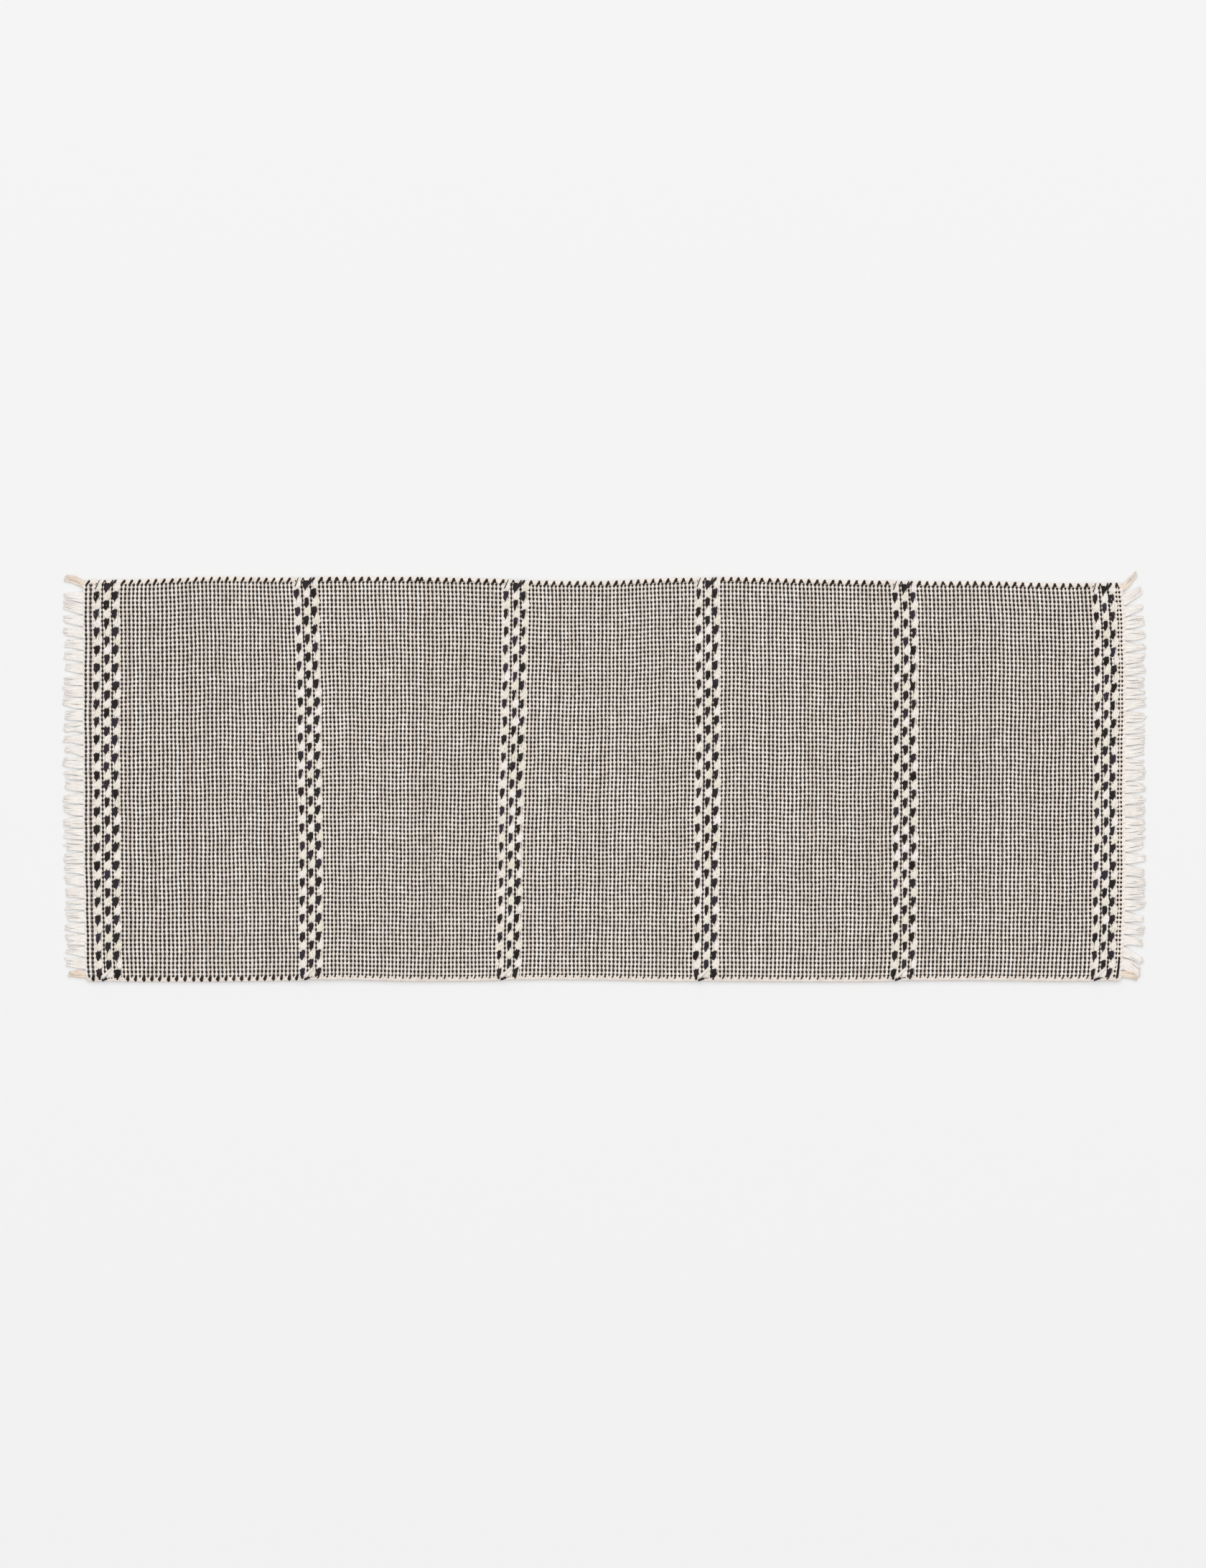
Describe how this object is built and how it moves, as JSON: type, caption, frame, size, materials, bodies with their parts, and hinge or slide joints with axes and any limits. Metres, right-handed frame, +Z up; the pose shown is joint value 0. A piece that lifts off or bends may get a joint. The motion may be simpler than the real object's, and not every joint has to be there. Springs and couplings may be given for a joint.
{
  "type": "runner rug",
  "caption": "Hand-woven cotton runner rug in black and cream, with six bands of heavy charcoal and ivory yarn, tasselled ends, folding in three.",
  "frame": {"origin": "middle of the underside, where the rug meets the floor", "axes": "+X along the rug's length, +Y across it towards the back edge, +Z up out of its face"},
  "size_m": [2.438, 0.914, 0.0094],
  "materials": {
    "ground_cloth": "matt woven cotton",
    "black_weft": "matt soft-spun yarn",
    "cream_weft": "matt soft-spun yarn",
    "charcoal_roving": "matt bulky roving",
    "ivory_roving": "matt bulky roving",
    "warp_cotton": "matt loose cotton ends",
    "tan_cotton": "matt loose cotton ends",
    "selvedge_cotton": "matt wrapped yarn"
  },
  "bodies": {
    "middle": {"field_2_inner_cloth": "ground_cloth", "band_3_cloth": "ground_cloth", "band_3_charcoal_yarn": "charcoal_roving", "band_3_ivory_yarn": "ivory_roving", "field_3_cloth": "ground_cloth", "band_4_cloth": "ground_cloth", "band_4_charcoal_yarn": "charcoal_roving", "band_4_ivory_yarn": "ivory_roving", "field_4_inner_cloth": "ground_cloth", "black_weft_middle": "black_weft", "cream_weft_middle": "cream_weft", "selvedge_back_middle": "selvedge_cotton", "selvedge_front_middle": "selvedge_cotton"},
    "left_end": {"fringe_left": "warp_cotton", "corner_tassels_left": "tan_cotton", "heading_left": "warp_cotton", "border_left_cloth": "ground_cloth", "band_1_cloth": "ground_cloth", "band_1_charcoal_yarn": "charcoal_roving", "band_1_ivory_yarn": "ivory_roving", "field_1_cloth": "ground_cloth", "band_2_cloth": "ground_cloth", "band_2_charcoal_yarn": "charcoal_roving", "band_2_ivory_yarn": "ivory_roving", "field_2_outer_cloth": "ground_cloth", "black_weft_left": "black_weft", "cream_weft_left": "cream_weft", "selvedge_back_left": "selvedge_cotton", "selvedge_front_left": "selvedge_cotton"},
    "right_end": {"field_4_outer_cloth": "ground_cloth", "band_5_cloth": "ground_cloth", "band_5_charcoal_yarn": "charcoal_roving", "band_5_ivory_yarn": "ivory_roving", "field_5_cloth": "ground_cloth", "band_6_cloth": "ground_cloth", "band_6_charcoal_yarn": "charcoal_roving", "band_6_ivory_yarn": "ivory_roving", "border_right_cloth": "ground_cloth", "heading_right": "warp_cotton", "black_weft_right": "black_weft", "cream_weft_right": "cream_weft", "selvedge_back_right": "selvedge_cotton", "selvedge_front_right": "selvedge_cotton", "fringe_right": "warp_cotton", "corner_tassels_right": "tan_cotton"}
  },
  "joints": [
    {"name": "fold_left", "type": "hinge", "parent": "middle", "child": "left_end", "pos_m": [-0.41457, 0, 0.01], "axis": [0, 1, 0], "range_deg": [0, 179.9]},
    {"name": "fold_right", "type": "hinge", "parent": "middle", "child": "right_end", "pos_m": [0.42123, 0, 0.0155], "axis": [0, -1, 0], "range_deg": [0, 179.9]}
  ]
}
